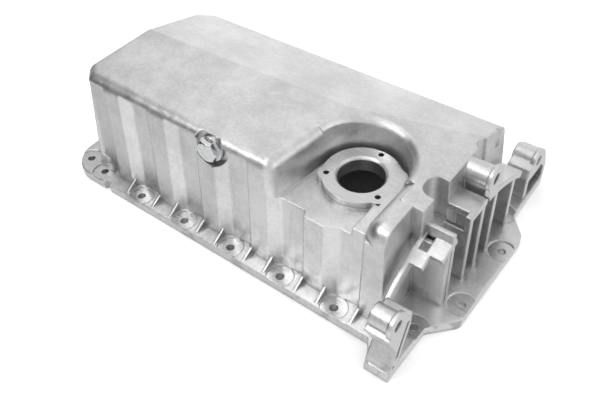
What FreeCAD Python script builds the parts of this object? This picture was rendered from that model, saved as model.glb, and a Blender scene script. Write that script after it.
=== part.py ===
import FreeCAD, Part
import math
import os

# Engine oil pan, a one-piece aluminium casting, with its drain plug and sealing washer.
# Millimetres. The engine face of the flange is z = 0 and the pan's floor points up, as the
# pan stands on a bench. x runs along the crankshaft towards the gearbox, y across the
# engine, and the crankshaft's centre plane is y = 0.

# Flange and its bolts
BOLT_PITCH = 57.0
BOLT_ROW_Y = 99.0
BOLT_HOLE = 7.5
FLANGE_T = 10.0
SEAT_DEPTH = 1.0
SEAT_R = 12.0
SEAT_CLEARANCE = 12.0
FLANGE_HALF_W = 107.0
FLANGE_LEFT_X = -211.0
FLANGE_RIGHT_X = 205.0
FLANGE_CORNER = 29.0
CORNER_BOLT = (-196.5, 90.5)
FRONT_BOLT = (-170.0, 96.0)
REAR_BOLT = (177.5, 77.0)
END_BOLT = (197.5, 35.5)
FRONT_END_BOLT = (-205.0, 33.0)
PRY_NOTCH = (-160.0, -150.0, 2.5)

# Sump body: places of its walls at z = 0, and their drafts
WALL = 4.0
FLOOR_Z = 119.0
SIDE_Y = 94.0
SIDE_DRAFT = 4.5
FRONT_X = -206.0
FRONT_DRAFT = 11.0
CORNER_Y = 66.0
CORNER_LEAN = 0.15
END_X = 166.0
NEAR_END_X = 157.0
NEAR_END_Y = -48.0
NEAR_STEP_X = 140.0
END_DRAFT = 3.0
FLOOR_FILLET = 10.0
NEAR_END_FILLET = 14.0

# Floor: flat on the near side of the crease, falling to the far side and to the gearbox
CREASE_Y = 10.0
FAR_SLOPE = 0.278
FAR_TWIST = -0.012
REAR_SLOPE = 0.10

# Wall grooves that clear the flange bolts
GROOVE_DEPTH = 6.0
GROOVE_LEAD = 17.0
GROOVE_LAG = 20.0
GROOVE_SLOPE = 11.0
GROOVE_STEP = 2.5
GROOVE_TOP = 114.0
FAR_GROOVE_TOP = 88.0
GROOVE_RUNOUT = 9.0
GUSSET_T = 2.5
GUSSET_H = 12.0

# Sensor shelf
SENSOR_X = 91.4
SENSOR_Y = -27.3
SENSOR_Z = 93.0
SHELF_Z = 86.0
SENSOR_HOLE_R = 20.0
SENSOR_BEVEL = 2.0
SENSOR_SEAT_R = 33.0
SENSOR_PCD_R = 29.0
SENSOR_BOLT_ANGLES = (210.0, 330.0, 90.0)
SENSOR_BOLT_TAP = 5.0
SENSOR_TAP_DEPTH = 12.0
SENSOR_LOBE_R = 7.5
SHELF_WALL_R = 37.0
SHELF_DRAFT = 9.0
SHELF_TURN = 6.7
SHELF_SPAN = (25.0, 150.0)
LAND_X = 119.0
LAND_END = (144.0, -50.0)
LAND_SIDE = (122.5, -8.0)

# Gearbox end: the bell-housing circle, its rim, ribs and three bolt bosses as (y, z)
CRANK_Z = -63.0
GEARBOX_X = 185.0
RIM_R = 150.0
RIM_T = 6.0
RIM_BACK_X = 160.0
RIM_SPANS = ((-22.3, -13.8), (-5.6, 5.0), (9.0, 33.6))
NEAR_RIM_X = 170.5
NEAR_PLATE_ANGLE = -41.5
NEAR_PLATE_X = (159.0, 163.0)
NEAR_PLATE_H = 10.0
NEAR_TONGUE = (-27.0, 160.0, 174.0)
RIB_T = 4.0
RIB_BACK_X = 148.0
RIBS = (-45.9, -11.7, 8.4, 30.4, 66.0)
STOP_RIB = (-40.0, 90.0)
GEARBOX_BOLT = 10.5
NEAR_BOSS = (-117.0, 62.4)
TOP_BOSS = (23.4, 99.1)
FAR_BOSS = (123.8, 44.1)
BOSS_BACKS = (164.0, 150.0, 162.0)
BOSS_R = 9.5
BOSS_FACE_R = 11.5
BOSS_FACE_T = 4.0
LEG_NEAR_Y = 127.5
LEG_FAR_Y = 145.0
LEG_BACK_X = 163.0

# Clearances sunk into the floor behind the rim: (start x, side y, side y, bottom z, corner)
TOOL_POCKETS = ((146.0, -32.0, -9.0, 68.0, 9.0), (156.0, 37.0, 53.0, 84.0, 7.5))
POCKET_END_X = 180.0
TOOL_GROOVE_R = 8.0
TOOL_GROOVE_X = 146.0
PIN_NOTCH = (163.0, 75.0, 84.0)
PIN_NOTCH_R = 4.5

# Drain plug, in a round pocket that breaks into the rounded edge of the near wall
DRAIN_X = -22.0
DRAIN_Z = FLOOR_Z - 15.0
DRAIN_SEAT_Y = -80.0
DRAIN_POCKET_R = 16.5
DRAIN_BOSS_R = 20.0
DRAIN_BOSS_L = 16.0
DRAIN_THREAD = 14.0
PLUG_CLEARANCE = 0.05
PLUG_HEX = 19.0
PLUG_HEAD_H = 6.5
PLUG_FLANGE_R = 12.0
PLUG_FLANGE_T = 2.0
PLUG_SHANK_L = 17.5
PLUG_CHAMFER = 1.2
WASHER_R = 11.0
WASHER_T = 1.5

# Length that takes a cutter clear through the piece it cuts, and a cut edge past its face
CLEAR = 30.0
RIM_OVERLAP = 0.4

# Uncut blocks reach this far from the origin, and run this far into the block beside them
STOCK = 300.0
JOIN = 20.0


def vec(x, y, z):
    return FreeCAD.Vector(x, y, z)


def tan(angle):
    return math.tan(math.radians(angle))


def on_xy(z):
    return lambda a, b: vec(a, b, z)


def on_yz(x):
    return lambda a, b: vec(x, a, b)


def on_xz(y):
    return lambda a, b: vec(a, y, b)


def rounded_wire(points, radii, place):
    """Closed wire through the points, each corner rounded by its radius (0 keeps it sharp)."""
    n = len(points)
    if not isinstance(radii, (list, tuple)):
        radii = [radii] * n
    edges = []
    entries = []
    for i, (px, py) in enumerate(points):
        ax, ay = points[i - 1]
        bx, by = points[(i + 1) % n]
        ua = (ax - px, ay - py)
        ub = (bx - px, by - py)
        la = math.hypot(*ua)
        lb = math.hypot(*ub)
        ua = (ua[0] / la, ua[1] / la)
        ub = (ub[0] / lb, ub[1] / lb)
        r = radii[i]
        half = math.acos(max(-1.0, min(1.0, ua[0] * ub[0] + ua[1] * ub[1]))) / 2
        if r <= 0 or half > math.radians(89.5):
            entries.append(((px, py), None, (px, py)))
            continue
        cut = min(r / math.tan(half), 0.48 * la, 0.48 * lb)
        r = cut * math.tan(half)
        start = (px + ua[0] * cut, py + ua[1] * cut)
        end = (px + ub[0] * cut, py + ub[1] * cut)
        mid = (ua[0] + ub[0], ua[1] + ub[1])
        lm = math.hypot(*mid)
        reach = r / math.sin(half) - r
        entries.append((start, (px + mid[0] / lm * reach, py + mid[1] / lm * reach), end))
    for i, (start, middle, end) in enumerate(entries):
        if middle:
            edges.append(Part.Arc(place(*start), place(*middle), place(*end)).toShape())
        following = entries[(i + 1) % n][0]
        if math.dist(end, following) > 1e-6:
            edges.append(Part.LineSegment(place(*end), place(*following)).toShape())
    return Part.Wire(edges)


def prism(points, radii, place, along):
    return Part.Face(rounded_wire(points, radii, place)).extrude(along)


def prism_z(points, z0, z1, radii=0):
    return prism(points, radii, on_xy(z0), vec(0, 0, z1 - z0))


def prism_x(points, x0, x1, radii=0):
    return prism(points, radii, on_yz(x0), vec(x1 - x0, 0, 0))


def prism_y(points, y0, y1, radii=0):
    return prism(points, radii, on_xz(y0), vec(0, y1 - y0, 0))


def cylinder(r, length, start, along):
    return Part.makeCylinder(r, length, start, along)


def fused(shapes):
    whole = shapes[0].multiFuse(shapes[1:]) if len(shapes) > 1 else shapes[0]
    return whole.removeSplitter()


def arc_height(y, r=RIM_R):
    """Height of the bell-housing circle over a place across the engine."""
    return CRANK_Z + math.sqrt(r * r - y * y)


def trimmed(block, planes, inset):
    """Cuts the block back to the inner side of each plane, given by a point and a normal."""
    reach = 900.0
    for (px, py, pz), (nx, ny, nz) in planes:
        normal = vec(nx, ny, nz).normalize()
        start = vec(px, py, pz) - normal * inset
        turn = FreeCAD.Rotation(vec(0, 0, 1), normal)
        slab = Part.makeBox(reach, reach, reach, vec(-reach / 2, -reach / 2, 0))
        slab.Placement = FreeCAD.Placement(start, turn)
        block = block.cut(slab)
    return block


def deep_floor():
    return [((0, 0, FLOOR_Z), (0, 0, 1)), ((0, CREASE_Y, FLOOR_Z), (FAR_TWIST, FAR_SLOPE, 1))]


def rear_fall():
    """Plane of the floor's fall to the gearbox, from the top of the shelf's left wall."""
    (px, py, pz), (nx, ny, nz) = shelf_left()
    return (px - (FLOOR_Z - pz) * nz / nx, py, FLOOR_Z), (REAR_SLOPE * nx, REAR_SLOPE * ny, 1)


def floor_planes():
    return deep_floor() + [rear_fall()]


def side_planes(near_y, far_y):
    lean = tan(SIDE_DRAFT)
    return [((0, near_y, 0), (0, -1, lean)), ((0, far_y, 0), (0, 1, lean))]


def shelf_left():
    """Plane of the sensor shelf's left wall, which runs on from the round part to the near side."""
    a = math.radians(SHELF_TURN)
    outward = (math.cos(a), -math.sin(a), tan(SHELF_DRAFT))
    point = (SENSOR_X - SHELF_WALL_R * outward[0], SENSOR_Y - SHELF_WALL_R * outward[1], SHELF_Z)
    return point, outward


def shelf_right():
    return (SENSOR_X + SHELF_WALL_R, SENSOR_Y, SHELF_Z), (-1, 0, tan(SHELF_DRAFT))


def end_plane(x):
    return (x, 0, 0), (1, 0, tan(END_DRAFT))


def stock(x0, x1, y0, y1, z0, z1=STOCK):
    return Part.makeBox(x1 - x0, y1 - y0, z1 - z0, vec(x0, y0, z0))


def sump_block(inset, bottom):
    """Deep part, as far as the sensor shelf."""
    planes = deep_floor() + side_planes(-SIDE_Y, SIDE_Y) + [shelf_left()]
    planes.append(((FRONT_X, 0, 0), (-1, 0, tan(FRONT_DRAFT))))
    for side in (-1, 1):
        planes.append(((FRONT_X, side * CORNER_Y, 0), (-1, side, CORNER_LEAN)))
    block = trimmed(stock(-STOCK, STOCK, -STOCK, STOCK, bottom), planes, inset)
    return block.makeFillet(FLOOR_FILLET - inset, leaning_edges(block) + floor_edges(block))


def rear_block(inset, bottom):
    """Part behind the sensor shelf, on to the gearbox end."""
    (px, py, pz), (nx, ny, nz) = shelf_left()
    start = ((px - 2 * FLOOR_FILLET, py, pz), (-nx, -ny, 0))
    block = trimmed(stock(0, STOCK, SENSOR_Y, STOCK, bottom), [start], 0)
    block = trimmed(block, floor_planes() + [side_planes(0, SIDE_Y)[1], end_plane(END_X)], inset)
    edges = [e for e in floor_edges(block) if e.CenterOfMass.y > SIDE_Y - CLEAR and e.Length > FLOOR_Z / 2]
    return block.makeFillet(FLOOR_FILLET - inset, edges)


def near_end_block(inset, bottom):
    """Part between the sensor shelf and the gearbox end, with a broad rounding to the near wall."""
    block = stock(SENSOR_X, STOCK, -STOCK, SENSOR_Y + JOIN, bottom)
    block = trimmed(block, floor_planes() + [side_planes(-SIDE_Y, 0)[0], shelf_right()], inset)
    edges = leaning_edges(block) + floor_edges(block)
    edges = [e for e in edges if e.CenterOfMass.y < SENSOR_Y and e.CenterOfMass.x < STOCK - CLEAR]
    block = trimmed(block.makeFillet(NEAR_END_FILLET - inset, edges), [end_plane(NEAR_END_X)], inset)
    step = stock(NEAR_STEP_X, STOCK, NEAR_END_Y + inset, SENSOR_Y + JOIN, bottom)
    return block.fuse(trimmed(step, floor_planes() + [end_plane(END_X)], inset))


def shelf_block(inset, bottom):
    """Low part under the sensor shelf, and the land beside the seat at the seat's own height."""
    near = [side_planes(-SIDE_Y, 0)[0]]
    low = stock(SHELF_SPAN[0], SHELF_SPAN[1], -STOCK, SENSOR_Y + JOIN, bottom, SHELF_Z - inset)
    land = stock(LAND_X + inset, LAND_END[0], -STOCK, LAND_END[1], bottom, SENSOR_Z - inset)
    return trimmed(low.fuse(land), near, inset)


def leaning_edges(shape):
    """Upright corner edges between two walls, of at least half the pan's height."""
    found = []
    for edge in shape.Edges:
        if len(edge.Vertexes) == 2:
            span = edge.Vertexes[1].Point - edge.Vertexes[0].Point
            if abs(span.z) > 0.9 * span.Length and span.Length > FLOOR_Z / 2:
                found.append(edge)
    return found


def floor_edges(shape):
    """Edges where an upward floor face meets a wall or a rounded corner."""
    found = []
    for edge in shape.Edges:
        faces = shape.ancestorsOfType(edge, Part.Face)
        if len(faces) != 2:
            continue
        lean = sorted(abs(f.normalAt(*middle_of(f)).z) for f in faces)
        if lean[1] > 0.85 and lean[0] < 0.5 and edge.CenterOfMass.z > FLOOR_Z / 2:
            found.append(edge)
    return found


def middle_of(face):
    u0, u1, v0, v1 = face.ParameterRange
    return (u0 + u1) / 2, (v0 + v1) / 2


def side_bolts():
    return [BOLT_PITCH * i for i in range(-2, 3)]


def groove(reach, draft, lead, lag, top, grow, bottom):
    """Cutter for one wall groove about x = 0, in a wall that faces -y and leans by its draft."""
    depth = GROOVE_DEPTH + grow
    plan = [(-lead - grow - 4, -CLEAR), (-lead - grow, 0), (-lead - grow + GROOVE_SLOPE, depth),
            (lag + grow - GROOVE_STEP, depth), (lag + grow, 0), (lag + grow + 4, -CLEAR)]
    column = prism_z(plan, -CLEAR, FLOOR_Z + CLEAR, [0, 0, 5, 3, 0, 0])
    column.Placement = FreeCAD.Placement(vec(0, -reach, 0), FreeCAD.Rotation(vec(1, 0, 0), -draft))
    wall_top = -reach + top * tan(draft)
    column = trimmed(column, [((0, wall_top, top), (0, GROOVE_RUNOUT, GROOVE_DEPTH))], -grow)
    return trimmed(column, [((0, 0, bottom), (0, 0, -1))], 0)


def grooves(grow, bottom):
    """Every wall groove: one over each bolt of the long rows and of the front end."""
    cutters = []
    for side, top in ((-1, GROOVE_TOP), (1, FAR_GROOVE_TOP)):
        cutter = groove(SIDE_Y, SIDE_DRAFT, GROOVE_LEAD, GROOVE_LAG, top, grow, bottom)
        if side > 0:
            cutter = cutter.mirror(vec(0, 0, 0), vec(0, 1, 0))
        for x in [FRONT_BOLT[0]] + side_bolts():
            cutters.append(moved(cutter, x, 0))
    front = groove(-FRONT_X, FRONT_DRAFT, GROOVE_LEAD, GROOVE_LEAD, FAR_GROOVE_TOP, grow, bottom)
    front.rotate(vec(0, 0, 0), vec(0, 0, 1), -90)
    for side in (-1, 1):
        cutters.append(moved(front, 0, side * FRONT_END_BOLT[1]))
    return cutters


def moved(shape, x, y):
    copy = shape.copy()
    copy.translate(vec(x, y, 0))
    return copy


def body(inset, bottom):
    """Sump and gearbox end as one block; the inset makes the space inside."""
    turn_y = SENSOR_Y + SHELF_WALL_R * math.sin(math.radians(SHELF_TURN))
    turn = stock(SENSOR_X - 2 * SHELF_WALL_R, SENSOR_X, SENSOR_Y, turn_y, bottom)
    rear = rear_block(inset, bottom).cut(shelf_bowl(inset)).cut(turn)
    return sump_block(inset, bottom).fuse([rear, near_end_block(inset, bottom), shelf_block(inset, bottom)])


def shelf_bowl(grow):
    """Round part of the space over the sensor shelf."""
    floor_z = SHELF_Z - grow
    r = SHELF_WALL_R + grow
    height = FLOOR_Z + CLEAR - floor_z
    return Part.makeCone(r, r + height * tan(SHELF_DRAFT), height, vec(SENSOR_X, SENSOR_Y, floor_z))


def shelf_rim():
    """Rounding of the round part's top edge, in the plane of the floor's fall to the gearbox."""
    (px, py, pz), (nx, ny, nz) = rear_fall()
    rim_z = pz - (nx * (SENSOR_X - px) + ny * (SENSOR_Y - py)) / nz
    r = SHELF_WALL_R + (rim_z - FLOOR_FILLET - SHELF_Z) * tan(SHELF_DRAFT) - RIM_OVERLAP
    low = RIM_OVERLAP - FLOOR_FILLET
    bend = FLOOR_FILLET * math.sqrt(0.5)
    place = on_xz(0)
    top = r + FLOOR_FILLET
    arc = Part.Arc(place(r, low), place(top - bend, low + bend), place(top, RIM_OVERLAP))
    rest = Part.makePolygon([place(top, RIM_OVERLAP), place(top, CLEAR), place(0, CLEAR),
                             place(0, low), place(r, low)])
    turned = Part.Face(Part.Wire([arc.toShape()] + rest.Edges)).revolve(vec(0, 0, 0), vec(0, 0, 1), 360)
    tilt = FreeCAD.Rotation(vec(0, 0, 1), vec(nx, ny, nz))
    turned.Placement = FreeCAD.Placement(vec(SENSOR_X, SENSOR_Y, rim_z), tilt)
    return turned


def land_strip():
    """Land between the seat's straight side and the shelf's right wall."""
    x, y = LAND_SIDE
    return Part.makeBox(9, y - NEAR_END_Y + 2, SENSOR_Z - SHELF_Z + 2, vec(x, NEAR_END_Y - 2, SHELF_Z - 2))


def sensor_bolts():
    places = []
    for angle in SENSOR_BOLT_ANGLES:
        a = math.radians(angle)
        places.append((SENSOR_X + SENSOR_PCD_R * math.cos(a), SENSOR_Y + SENSOR_PCD_R * math.sin(a)))
    return places


def sensor_seat(z0, z1):
    """Round seat with a lobe at each near bolt and a square right side."""
    r = SENSOR_SEAT_R
    disc = cylinder(r, z1 - z0, vec(SENSOR_X, SENSOR_Y, z0), vec(0, 0, 1))
    lobes = [cylinder(SENSOR_LOBE_R, z1 - z0, vec(x, y, z0), vec(0, 0, 1)) for x, y in sensor_bolts()[:2]]
    side = SENSOR_X + r - 1.0
    corner = [(SENSOR_X, SENSOR_Y - r / 2), (side, SENSOR_Y - r / 2), (side, SENSOR_Y + r * 0.62),
              (SENSOR_X + r / 2, SENSOR_Y + r * 0.8)]
    return fused([disc, prism_z(corner, z0, z1, [0, 0, 3, 0])] + lobes)


def flange_outline():
    w = FLANGE_HALF_W
    left = FLANGE_LEFT_X
    right = FLANGE_RIGHT_X
    return [(left, -w), (153, -w), (166, -LEG_NEAR_Y), (GEARBOX_X, -LEG_NEAR_Y), (GEARBOX_X, -73),
            (right, -51), (right, 60), (187, 80), (GEARBOX_X, LEG_FAR_Y), (166, LEG_FAR_Y),
            (150, w), (left, w)]


def flange():
    radii = [FLANGE_CORNER, 4, 3, 1.5, 6, 10, 12, 10, 1.5, 3, 4, FLANGE_CORNER]
    plate = prism_z(flange_outline(), 0, FLANGE_T, radii)
    x0, x1, depth = PRY_NOTCH
    edge = -FLANGE_HALF_W
    notch = [(x0, edge - 5), (x1, edge - 5), (x1 - 1.5, edge + depth), (x0 + 1.5, edge + depth)]
    return plate.cut(prism_z(notch, -1, FLANGE_T + 1, [0, 0, 1, 1]))


def flange_bolts():
    places = [(x, side * BOLT_ROW_Y) for side in (-1, 1) for x in side_bolts()]
    for x, y in (CORNER_BOLT, FRONT_BOLT, REAR_BOLT, END_BOLT, FRONT_END_BOLT):
        places += [(x, -y), (x, y)]
    return places


def gusset(x, side):
    """Triangular fin from the flange up to the wall."""
    base = side * (FLANGE_HALF_W - 2.0)
    wall = side * (SIDE_Y - GROOVE_DEPTH - 4.0)
    profile = [(base, FLANGE_T - 1), (base, FLANGE_T), (wall, FLANGE_T + GUSSET_H), (wall, FLANGE_T - 1)]
    if side < 0:
        profile = profile[::-1]
    return prism_x(profile, x - GUSSET_T / 2, x + GUSSET_T / 2)


def gussets():
    fins = []
    for side in (-1, 1):
        for x in side_bolts():
            fins.append(gusset(x - GROOVE_LEAD + 2.5, side))
            fins.append(gusset(x + GROOVE_LAG, side))
    return fins


def rim(angle0, angle1, r=RIM_R, back=RIM_BACK_X, front=GEARBOX_X, deep=RIM_T):
    """Strip of the bell-housing rim between two angles from straight up."""
    mid = (angle0 + angle1) / 2
    low = r - deep
    place = on_yz(back)
    outer = Part.Arc(place(*on_rim(r, angle0)), place(*on_rim(r, mid)), place(*on_rim(r, angle1)))
    inner = Part.Arc(place(*on_rim(low, angle1)), place(*on_rim(low, mid)), place(*on_rim(low, angle0)))
    end1 = Part.LineSegment(place(*on_rim(r, angle1)), place(*on_rim(low, angle1)))
    end0 = Part.LineSegment(place(*on_rim(low, angle0)), place(*on_rim(r, angle0)))
    wire = Part.Wire([piece.toShape() for piece in (outer, end1, inner, end0)])
    return Part.Face(wire).extrude(vec(front - back, 0, 0))


def on_rim(radius, angle):
    a = math.radians(angle)
    return radius * math.sin(a), CRANK_Z + radius * math.cos(a)


def near_rim():
    """Near strip of the rim, its tongue and the thin plate that runs on to the near bolt boss."""
    start, end = RIM_SPANS[0]
    tongue_end, back, front = NEAR_TONGUE
    return [rim(start, end, back=NEAR_RIM_X), rim(tongue_end, start + 0.5, back=back, front=front),
            rim(NEAR_PLATE_ANGLE, end, back=NEAR_PLATE_X[0], front=NEAR_PLATE_X[1], deep=NEAR_PLATE_H)]


def rib(y, top):
    """Upright rib across the gearbox end, standing on the flange."""
    half = RIB_T / 2
    foot = [(y - half, FLANGE_T - 2), (y + half, FLANGE_T - 2), (y + half, top), (y - half, top)]
    return prism_x(foot, RIB_BACK_X, GEARBOX_X)


def boss(y, z, back):
    barrel = cylinder(BOSS_R, GEARBOX_X - back, vec(back, y, z), vec(1, 0, 0))
    head = cylinder(BOSS_FACE_R, BOSS_FACE_T, vec(GEARBOX_X - BOSS_FACE_T, y, z), vec(1, 0, 0))
    return barrel.fuse(head)


def near_leg():
    """Web from the near gearbox bolt down to its foot, with two pockets open to the gearbox."""
    y, z = NEAR_BOSS
    outside = [(-LEG_NEAR_Y, 0), (-LEG_NEAR_Y, 5), (-124, 15), (-117, 28), (y - 12, z - 8), (y, z),
               (-98, 60), (-98, 46), (-116, 6), (-112, 0)]
    leg = prism_x(outside[::-1], LEG_BACK_X, GEARBOX_X, 0)
    slot = prism_x([(-104, 52), (-99, 52), (-114, 18), (-119, 18)], LEG_BACK_X + WALL, GEARBOX_X + 1, 1.5)
    toe = prism_x([(-118, 14), (-121, 14), (-124, 5), (-120, 5)], LEG_BACK_X + WALL, GEARBOX_X + 1, 0.8)
    return leg.cut(slot).cut(toe)


def far_leg():
    y, z = FAR_BOSS
    outside = [(102, 0), (LEG_FAR_Y, 0), (LEG_FAR_Y + 1, 24), (139, 42), (y + 12, z + 4), (y, z + 6),
               (106, 44), (102, 36)]
    pocket = [(107, FLANGE_T), (LEG_FAR_Y - 4, FLANGE_T), (LEG_FAR_Y - 3, 23), (132, 34), (107, 31)]
    leg = prism_x(outside, LEG_BACK_X, GEARBOX_X)
    leg = leg.cut(prism_x(pocket, LEG_BACK_X + WALL, GEARBOX_X + 1, 2))
    shelf = prism_x([(105, 21), (143, 21), (143, 24), (105, 24)], LEG_BACK_X + 2, GEARBOX_X - 3)
    return leg.fuse(shelf)


def gearbox_end():
    pieces = near_rim() + [rim(*RIM_SPANS[1], r=RIM_R - 1.0), rim(*RIM_SPANS[2])]
    for y in RIBS:
        pieces.append(rib(y, arc_height(y) - RIM_T / 3))
    pieces.append(rib(*STOP_RIB))
    for (y, z), back in zip((NEAR_BOSS, TOP_BOSS, FAR_BOSS), BOSS_BACKS):
        pieces.append(boss(y, z, back))
    y, z = TOP_BOSS
    half = BOSS_R * 0.65
    pad = [(y - 10, z - 15), (y + 14, z - 11), (y + 10, z + 4), (y - 9, z + 6)]
    pieces.append(prism_x(pad, GEARBOX_X - BOSS_FACE_T, GEARBOX_X, 2))
    web = [(y - half, z - 20), (y + half, z - 20), (y + half, z), (y - half, z)]
    pieces.append(prism_x(web, BOSS_BACKS[1], GEARBOX_X))
    return pieces + [near_leg(), far_leg()]


def floor_pockets(grow):
    """Clearances in the floor for the gearbox bolts and their tools; grown, their walls."""
    y, z = TOP_BOSS
    r = TOOL_GROOVE_R + grow
    length = BOSS_BACKS[1] - TOOL_GROOVE_X + grow * 4
    shapes = [cylinder(r, length, vec(TOOL_GROOVE_X, y, z), vec(1, 0, 0)),
              Part.makeSphere(r, vec(TOOL_GROOVE_X, y, z))]
    for x, y0, y1, z0, corner in TOOL_POCKETS:
        plan = [(x - grow, y0 - grow), (POCKET_END_X, y0 - grow),
                (POCKET_END_X, y1 + grow), (x - grow, y1 + grow)]
        radii = [corner + grow, 0, 0, corner + grow]
        shapes.append(prism_z(plan, z0 - grow, FLOOR_Z + CLEAR, radii))
    x, y, z = PIN_NOTCH
    shapes.append(cylinder(PIN_NOTCH_R + grow, FLOOR_Z - z, vec(x, y, z - grow), vec(0, 0, 1)))
    return shapes


def seat_spaces(grow, bottom):
    """Spot-faces round the flange bolts; grown, the metal kept round them."""
    top = FLANGE_T - SEAT_DEPTH + SEAT_CLEARANCE + grow
    up = vec(0, 0, 1)
    return [cylinder(SEAT_R + grow, top - bottom, vec(x, y, bottom), up) for x, y in flange_bolts()]


def casting():
    seat = sensor_seat(SENSOR_Z - SENSOR_TAP_DEPTH - WALL / 2, SENSOR_Z)
    shell = body(0, 0).cut(shelf_rim())
    outside = fused([shell, flange(), seat, land_strip()] + gearbox_end())
    for cutter in grooves(0, FLANGE_T):
        outside = outside.cut(cutter)
    outside = fused([outside] + gussets())
    for cutter in floor_pockets(0):
        outside = outside.cut(cutter)
    inside = body(WALL, -1)
    for cutter in grooves(WALL, -1) + floor_pockets(WALL) + seat_spaces(WALL, -1):
        inside = inside.cut(cutter)
    boss_start = vec(DRAIN_X, DRAIN_SEAT_Y - WALL, DRAIN_Z)
    drain_boss = cylinder(DRAIN_BOSS_R, DRAIN_BOSS_L + WALL, boss_start, vec(0, 1, 0))
    pan = outside.cut(inside.cut(drain_boss).cut(seat))
    for cutter in holes():
        pan = pan.cut(cutter)
    return pan


def holes():
    up = vec(0, 0, 1)
    across = vec(0, 1, 0)
    cutters = seat_spaces(0, FLANGE_T - SEAT_DEPTH)
    for x, y in flange_bolts():
        cutters.append(cylinder(BOLT_HOLE / 2, FLANGE_T + 2, vec(x, y, -1), up))
    for y, z in (NEAR_BOSS, TOP_BOSS, FAR_BOSS):
        cutters.append(cylinder(GEARBOX_BOLT / 2, 2 * CLEAR, vec(TOOL_GROOVE_X, y, z), vec(1, 0, 0)))
    cutters.append(cylinder(SENSOR_HOLE_R, 2 * CLEAR, vec(SENSOR_X, SENSOR_Y, SENSOR_Z - CLEAR), up))
    bevel_start = vec(SENSOR_X, SENSOR_Y, SENSOR_Z - SENSOR_BEVEL)
    cutters.append(Part.makeCone(SENSOR_HOLE_R, SENSOR_HOLE_R + SENSOR_BEVEL, SENSOR_BEVEL, bevel_start))
    for x, y in sensor_bolts():
        start = vec(x, y, SENSOR_Z - SENSOR_TAP_DEPTH)
        cutters.append(cylinder(SENSOR_BOLT_TAP / 2, SENSOR_TAP_DEPTH + 1, start, up))
    bore = DRAIN_THREAD / 2 + PLUG_CLEARANCE
    outer = vec(DRAIN_X, DRAIN_SEAT_Y - CLEAR, DRAIN_Z)
    cutters.append(cylinder(bore, 2 * CLEAR, outer, across))
    cutters.append(cylinder(DRAIN_POCKET_R, CLEAR, outer, across))
    return cutters


def drain_washer():
    start = vec(DRAIN_X, DRAIN_SEAT_Y - WASHER_T, DRAIN_Z)
    ring = cylinder(WASHER_R, WASHER_T, start, vec(0, 1, 0))
    return ring.cut(cylinder(DRAIN_THREAD / 2 + PLUG_CLEARANCE, WASHER_T, start, vec(0, 1, 0)))


def hexagon(across_flats):
    r = across_flats / math.sqrt(3)
    return [(r * math.cos(math.radians(60 * i)), r * math.sin(math.radians(60 * i))) for i in range(6)]


def drain_plug():
    """Hexagon head with a flange; the shank stands for the thread's outside."""
    along = vec(0, 1, 0)
    seat_y = DRAIN_SEAT_Y - WASHER_T
    tip_y = seat_y + PLUG_SHANK_L
    shank = cylinder(DRAIN_THREAD / 2, PLUG_SHANK_L, vec(DRAIN_X, seat_y, DRAIN_Z), along)
    tip = [e for e in shank.Edges if abs(e.CenterOfMass.y - tip_y) < 0.01]
    shank = shank.makeChamfer(PLUG_CHAMFER, tip)
    disc = cylinder(PLUG_FLANGE_R, PLUG_FLANGE_T, vec(DRAIN_X, seat_y - PLUG_FLANGE_T, DRAIN_Z), along)
    head_y = seat_y - PLUG_FLANGE_T - PLUG_HEAD_H
    points = [(DRAIN_X + x, DRAIN_Z + z) for x, z in hexagon(PLUG_HEX)]
    head = prism_y(points, head_y, head_y + PLUG_HEAD_H)
    r = PLUG_HEX * 0.47
    rounding = Part.makeCone(r, r + CLEAR, CLEAR, vec(DRAIN_X, head_y, DRAIN_Z), along)
    return fused([head.common(rounding), disc, shank])


def save(name, shape):
    solids = shape.Solids
    whole = solids[0] if len(solids) == 1 else shape
    whole.exportStep("parts/" + name + ".step")
    print(name, whole.isValid(), len(solids), round(whole.Volume), len(whole.Faces), whole.BoundBox)


def main():
    os.makedirs("parts", exist_ok=True)
    save("oil_pan", casting())
    save("drain_plug", drain_plug())
    save("drain_plug_washer", drain_washer())


main()
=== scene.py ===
import bpy
from math import radians, tau
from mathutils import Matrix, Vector

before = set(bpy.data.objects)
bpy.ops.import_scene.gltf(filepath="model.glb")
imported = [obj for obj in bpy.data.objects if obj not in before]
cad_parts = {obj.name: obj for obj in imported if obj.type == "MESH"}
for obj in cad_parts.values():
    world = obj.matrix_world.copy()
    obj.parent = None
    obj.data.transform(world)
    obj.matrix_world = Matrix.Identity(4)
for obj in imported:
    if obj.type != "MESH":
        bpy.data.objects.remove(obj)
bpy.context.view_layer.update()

# Places on the pan, in metres, that the finishes follow
SEAT_TOP = 0.009
SENSOR_SEAT = (0.0914, -0.0273, 0.093)
SENSOR_SEAT_REACH = 0.040
SENSOR_SEAT_SIDE_X = 0.1224
GEARBOX_X = 0.185
PLUG_AXIS = (-0.022, 0.0, 0.104)
LOW_GREY_TOP = 0.040
LOW_GREY_FULL = 0.012

# How near a milled face's level a point has to lie, in metres, and how square to its axis the face
FACE_FIT = 0.0004
SEAT_FIT = 0.0003
SQUARE = 0.995

# Reach of the painted corner shade and radii of the softened edges, in metres, and the washer's turning
# lines
CORNER_SHADE_REACH = 0.007
SKIN_EDGE = 0.0022
MILLED_EDGE = 0.0006
PLATED_EDGE = 0.0005
RINGS_PER_METRE = 2864.79
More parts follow.
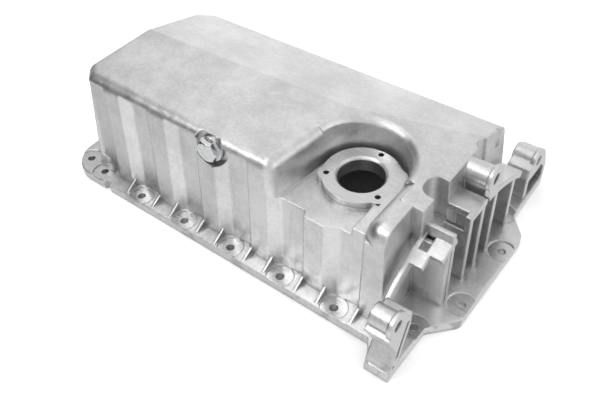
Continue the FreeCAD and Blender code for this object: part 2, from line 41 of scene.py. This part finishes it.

# Darkest and palest tone of each finish, and the tones laid over the cast skin, the painted corner
# shade among them
SKIN_TONES = ((0.56, 0.56, 0.56, 1), (0.76, 0.76, 0.76, 1))
MILLED_TONES = ((0.56, 0.56, 0.56, 1), (0.66, 0.66, 0.66, 1))
PLATED_TONES = ((0.62, 0.63, 0.64, 1), (0.74, 0.74, 0.75, 1))
WASHER_TONES = ((0.70, 0.70, 0.71, 1), (0.84, 0.84, 0.84, 1))
PAPER_TONES = ((0.90, 0.90, 0.90, 1), (0.93, 0.93, 0.93, 1))
STREAK = (0.44, 0.44, 0.445, 1)
LOW_WALL_GREY = (0.30, 0.30, 0.31, 1)
# Painted shade for tight corners
CORNER_SHADE = (0.20, 0.20, 0.21, 1)

# The pale room that the metal mirrors, with a dark part and a bright card, each by its direction
ROOM_TONE = (0.98, 0.98, 0.985, 1)
DARK_TONE = (0.08, 0.08, 0.085, 1)
DARK_WAY = (-0.83, -0.42, 0.36)
CARD_TONE = (1.22, 1.22, 1.22, 1)
CARD_WAY = (0.15, -0.85, -0.52)
ROOM_STRENGTH = 0.90

# Camera: place in metres, turn in degrees, lens and film width in millimetres
CAMERA_PLACE = (0.33262172, -0.39505297, 0.50610119)
CAMERA_TURN = (44.83326, 2.40957, 37.52913)
LENS = 44.4
FILM_WIDTH = 36.0

# Table: half its width, the sides of the piece under the pan, and how far each lies under the flange
TABLE_HALF = 6.0
TABLE_DROP = 0.0003
UNDER_PAN = (-0.200, 0.195, -0.100, 0.100)
UNDER_PAN_DROP = 0.0001

# Point in the pan that every light faces
LIGHTS_AIM = (0.0, 0.0, 0.05)


class Nodes:
    """Short calls for building one material's node tree."""

    def __init__(self, tree):
        self.tree = tree

    def make(self, kind, inputs=(), **settings):
        node = self.tree.nodes.new(kind)
        for key, value in settings.items():
            setattr(node, key, value)
        for key, value in dict(inputs).items():
            self.feed(node.inputs[key], value)
        return node

    def feed(self, socket, value):
        if isinstance(value, bpy.types.NodeSocket):
            self.tree.links.new(value, socket)
        else:
            socket.default_value = value

    def math(self, operation, a, b=0.0):
        return self.make("ShaderNodeMath", {0: a, 1: b}, operation=operation).outputs[0]

    def ramp(self, value, low, high, to_low=0.0, to_high=1.0):
        node = self.make("ShaderNodeMapRange", {"Value": value, "From Min": low, "From Max": high,
                                                "To Min": to_low, "To Max": to_high})
        node.interpolation_type = "SMOOTHSTEP"
        return node.outputs["Result"]

    def noise(self, place, scale, detail=3.0, rough=0.5):
        node = self.make("ShaderNodeTexNoise", {"Vector": place, "Scale": scale, "Detail": detail,
                                                "Roughness": rough})
        return node.outputs["Fac"]

    def stretched(self, place, scales):
        return self.make("ShaderNodeMapping", {"Vector": place, "Scale": scales}).outputs["Vector"]

    def distance(self, place, point):
        node = self.make("ShaderNodeVectorMath", {0: place, 1: point}, operation="DISTANCE")
        return node.outputs["Value"]

    def along(self, way, direction):
        node = self.make("ShaderNodeVectorMath", {0: way, 1: direction}, operation="DOT_PRODUCT")
        return node.outputs["Value"]

    def mix(self, share, a, b):
        node = self.make("ShaderNodeMix", data_type="RGBA")
        self.feed(node.inputs[0], share)
        self.feed(node.inputs[6], a)
        self.feed(node.inputs[7], b)
        return node.outputs[2]

    def blend(self, share, a, b):
        node = self.make("ShaderNodeMix", data_type="FLOAT")
        self.feed(node.inputs[0], share)
        self.feed(node.inputs[2], a)
        self.feed(node.inputs[3], b)
        return node.outputs[0]

    def bump(self, height, distance, strength, normal=None):
        inputs = {"Height": height, "Distance": distance, "Strength": strength}
        if normal is not None:
            inputs["Normal"] = normal
        return self.make("ShaderNodeBump", inputs).outputs["Normal"]

    def openness(self, distance):
        """1 on open faces, falling to 0 in tight corners."""
        node = self.make("ShaderNodeAmbientOcclusion", {"Distance": distance}, samples=8)
        return node.outputs["AO"]

    def soft_edges(self, radius):
        return self.make("ShaderNodeBevel", {"Radius": radius}, samples=6).outputs["Normal"]


def new_material(name):
    material = bpy.data.materials.new(name)
    material.use_nodes = True
    material.node_tree.nodes.clear()
    nodes = Nodes(material.node_tree)
    shader = nodes.make("ShaderNodeBsdfPrincipled")
    out = nodes.make("ShaderNodeOutputMaterial")
    material.node_tree.links.new(shader.outputs[0], out.inputs[0])
    place = nodes.make("ShaderNodeTexCoord").outputs["Object"]
    return material, nodes, shader, place


def near_level(nodes, value, level, width):
    """1 where a coordinate lies within the width of a level, else 0."""
    gap = nodes.math("ABSOLUTE", nodes.math("SUBTRACT", value, level))
    return nodes.math("LESS_THAN", gap, width)


def cast_aluminium():
    """Bead-blasted die casting, with milled faces where it meets other parts."""
    material, n, shader, place = new_material("cast_aluminium_finish")
    x, y, z = n.make("ShaderNodeSeparateXYZ", {0: place}).outputs
    facing = n.make("ShaderNodeNewGeometry").outputs["True Normal"]
    nx, ny, nz = n.make("ShaderNodeSeparateXYZ", {0: facing}).outputs
    flat_up = n.math("GREATER_THAN", n.math("ABSOLUTE", nz), SQUARE)
    flat_end = n.math("GREATER_THAN", nx, SQUARE)

    # Milled faces: engine face, bolt seats, sensor seat and gearbox face
    engine = n.math("MULTIPLY", near_level(n, z, 0.0, FACE_FIT), flat_up)
    seats = n.math("MULTIPLY", near_level(n, z, SEAT_TOP, SEAT_FIT), flat_up)
    sensor = n.math("MULTIPLY", near_level(n, z, SENSOR_SEAT[2], FACE_FIT), flat_up)
    around = n.math("LESS_THAN", n.distance(place, SENSOR_SEAT), SENSOR_SEAT_REACH)
    sensor = n.math("MULTIPLY", sensor, around)
    sensor = n.math("MULTIPLY", sensor, n.math("LESS_THAN", x, SENSOR_SEAT_SIDE_X))
    end = n.math("MULTIPLY", n.math("GREATER_THAN", x, GEARBOX_X - FACE_FIT), flat_end)
    milled = n.math("MAXIMUM", n.math("MAXIMUM", engine, seats), n.math("MAXIMUM", sensor, end))

    # Cast skin: broad cloudy patches, fine mottling and grain
    clouds = n.noise(place, 14.0, 3.0, 0.5)
    patches = n.noise(place, 70.0, 4.0, 0.6)
    mottle = n.noise(place, 330.0, 3.0, 0.65)
    grain = n.noise(place, 1100.0, 2.0, 0.6)
    tone = n.math("ADD", n.math("MULTIPLY", clouds, 0.45), n.math("MULTIPLY", patches, 0.3))
    tone = n.math("ADD", tone, n.math("MULTIPLY", mottle, 0.25))
    skin = n.mix(n.ramp(tone, 0.36, 0.64), *SKIN_TONES)

    # Die-drag streaks run up the walls, and the walls turn darker grey in patches towards the bottom
    wall = n.ramp(n.math("ABSOLUTE", nz), 0.8, 0.4)
    streaks = n.noise(n.stretched(place, (260.0, 260.0, 14.0)), 1.0, 3.0, 0.6)
    drawn = n.math("MULTIPLY", wall, n.ramp(streaks, 0.50, 0.75))
    skin = n.mix(n.math("MULTIPLY", drawn, 0.25), skin, STREAK)
    low = n.ramp(z, LOW_GREY_TOP, LOW_GREY_FULL)
    low_grey = n.math("MULTIPLY", n.math("MULTIPLY", low, wall), n.ramp(patches, 0.46, 0.62))
    skin = n.mix(n.math("MULTIPLY", low_grey, 0.6), skin, LOW_WALL_GREY)

    # Painted shade: ambient occlusion darkens the base colour in corners, so they stay darker than the
    # blasted faces
    corner_shade = n.ramp(n.openness(CORNER_SHADE_REACH), 0.90, 0.40)
    skin = n.mix(n.math("MULTIPLY", corner_shade, 0.50), skin, CORNER_SHADE)

    lines = n.noise(n.stretched(place, (60.0, 1500.0, 1500.0)), 1.0, 2.0, 0.5)
    cut = n.mix(n.ramp(lines, 0.3, 0.7), *MILLED_TONES)
    n.feed(shader.inputs["Base Color"], n.mix(milled, skin, cut))
    shader.inputs["Metallic"].default_value = 1.0

    rough = n.math("ADD", n.ramp(patches, 0.3, 0.7, 0.33, 0.42), n.math("MULTIPLY", grain, 0.05))
    n.feed(shader.inputs["Roughness"], n.blend(milled, rough, n.ramp(lines, 0.3, 0.7, 0.26, 0.34)))

    # Height of each unevenness in metres, from broad waves to grain
    skin_bump = n.bump(clouds, 0.004, 0.22, n.soft_edges(SKIN_EDGE))
    for layer, height in ((patches, 0.0012), (mottle, 0.0004), (grain, 0.0002)):
        skin_bump = n.bump(layer, height, 0.30, skin_bump)
    cut_bump = n.bump(lines, 0.00003, 0.25, n.soft_edges(MILLED_EDGE))
    bump = n.make("ShaderNodeMix", data_type="VECTOR")
    n.feed(bump.inputs[0], milled)
    n.feed(bump.inputs[4], skin_bump)
    n.feed(bump.inputs[5], cut_bump)
    n.feed(shader.inputs["Normal"], bump.outputs[1])
    return material


def plated_steel():
    """Bright zinc plate with faint turning lines and small handling marks."""
    material, n, shader, place = new_material("plated_steel_finish")
    marks = n.noise(place, 350.0, 4.0, 0.6)
    turned = n.noise(n.stretched(place, (40.0, 2600.0, 40.0)), 1.0, 2.0, 0.5)
    n.feed(shader.inputs["Base Color"], n.mix(n.ramp(marks, 0.35, 0.65), *PLATED_TONES))
    shader.inputs["Metallic"].default_value = 1.0
    n.feed(shader.inputs["Roughness"], n.ramp(marks, 0.3, 0.7, 0.14, 0.22))
    n.feed(shader.inputs["Normal"], n.bump(turned, 0.00002, 0.2, n.soft_edges(PLATED_EDGE)))
    return material


def washer_aluminium():
    """Soft aluminium ring with turned faces."""
    material, n, shader, place = new_material("washer_aluminium_finish")
    flat = n.make("ShaderNodeVectorMath", {0: place, 1: (1.0, 0.0, 1.0)}, operation="MULTIPLY")
    radius = n.distance(flat.outputs[0], PLUG_AXIS)
    rings = n.math("SINE", n.math("MULTIPLY", radius, tau * RINGS_PER_METRE))
    marks = n.noise(place, 500.0, 3.0, 0.6)
    n.feed(shader.inputs["Base Color"], n.mix(n.ramp(marks, 0.35, 0.65), *WASHER_TONES))
    shader.inputs["Metallic"].default_value = 1.0
    n.feed(shader.inputs["Roughness"], n.ramp(marks, 0.3, 0.7, 0.28, 0.40))
    n.feed(shader.inputs["Normal"], n.bump(rings, 0.00002, 0.4))
    return material


def finish_node(name, material):
    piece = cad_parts[name]
    for slot in piece.material_slots:
        slot.material = material


finish_node("oil_pan", cast_aluminium())
finish_node("drain_plug", plated_steel())
finish_node("drain_plug_washer", washer_aluminium())


def floor_material():
    material, n, shader, place = new_material("paper_floor")
    fibres = n.noise(place, 60.0, 4.0, 0.5)
    n.feed(shader.inputs["Base Color"], n.mix(n.ramp(fibres, 0.3, 0.7), *PAPER_TONES))
    shader.inputs["Roughness"].default_value = 0.9
    return material


def floor(name, sides, z, material, mirrored):
    """Flat piece of the table; the metal mirrors only the piece that closes the pan's open side."""
    x0, x1, y0, y1 = sides
    mesh = bpy.data.meshes.new(name)
    mesh.from_pydata([(x0, y0, z), (x1, y0, z), (x1, y1, z), (x0, y1, z)], [], [(0, 1, 2, 3)])
    plane = bpy.data.objects.new(name, mesh)
    plane.visible_glossy = mirrored
    mesh.materials.append(material)
    bpy.context.scene.collection.objects.link(plane)


def studio_world():
    """Pale room with a broad dark part on the near left and a bright card low in front."""
    world = bpy.data.worlds.new("studio")
    bpy.context.scene.world = world
    world.use_nodes = True
    n = Nodes(world.node_tree)
    way = n.make("ShaderNodeTexCoord").outputs["Generated"]
    colour = n.mix(n.ramp(n.along(way, DARK_WAY), 0.50, 0.97), ROOM_TONE, DARK_TONE)
    colour = n.mix(n.ramp(n.along(way, CARD_WAY), 0.86, 0.98), colour, CARD_TONE)
    background = world.node_tree.nodes["Background"]
    world.node_tree.links.new(colour, background.inputs["Color"])
    background.inputs["Strength"].default_value = ROOM_STRENGTH


def softbox(name, way, distance, size, power, mirrored=True):
    """Area light that faces the pan; one that isn't mirrored only brightens the table."""
    light = bpy.data.lights.new(name, "AREA")
    light.shape = "RECTANGLE"
    light.size, light.size_y = size
    light.energy = power
    holder = bpy.data.objects.new(name, light)
    way = Vector(way).normalized()
    holder.location = Vector(LIGHTS_AIM) + way * distance
    holder.rotation_mode = "QUATERNION"
    holder.rotation_quaternion = way.to_track_quat("Z", "Y")
    holder.visible_glossy = mirrored
    bpy.context.scene.collection.objects.link(holder)


def camera():
    """The photograph's own camera, solved from the flange's bolt grid."""
    data = bpy.data.cameras.new("photo_camera")
    data.sensor_width = FILM_WIDTH
    data.lens = LENS
    data.clip_start = 0.01
    data.clip_end = 50.0
    holder = bpy.data.objects.new("photo_camera", data)
    holder.location = CAMERA_PLACE
    holder.rotation_euler = [radians(angle) for angle in CAMERA_TURN]
    bpy.context.scene.collection.objects.link(holder)
    bpy.context.scene.camera = holder


paper = floor_material()
floor("floor", (-TABLE_HALF, TABLE_HALF, -TABLE_HALF, TABLE_HALF), -TABLE_DROP, paper, False)
floor("floor_under_pan", UNDER_PAN, -UNDER_PAN_DROP, paper, True)
studio_world()
# Each light: direction from the pan, distance and size in metres, power in watts
softbox("front_left", (-0.28, -0.55, 0.78), 1.3, (0.5, 0.4), 5.0)
softbox("top", (-0.25, -0.02, 0.97), 1.4, (0.5, 0.5), 1.5)
softbox("back_low", (-0.48, 0.86, 0.20), 1.8, (1.6, 0.7), 1.3)
softbox("back", (-0.30, 0.60, 0.75), 1.8, (1.8, 1.4), 1.0)
softbox("right", (0.95, 0.15, 0.45), 1.8, (1.0, 1.0), 2.8)
softbox("table_fill", (0.1, 0.1, 1.0), 2.2, (2.5, 2.5), 30.0, mirrored=False)
camera()
bpy.context.scene.view_settings.view_transform = "Standard"
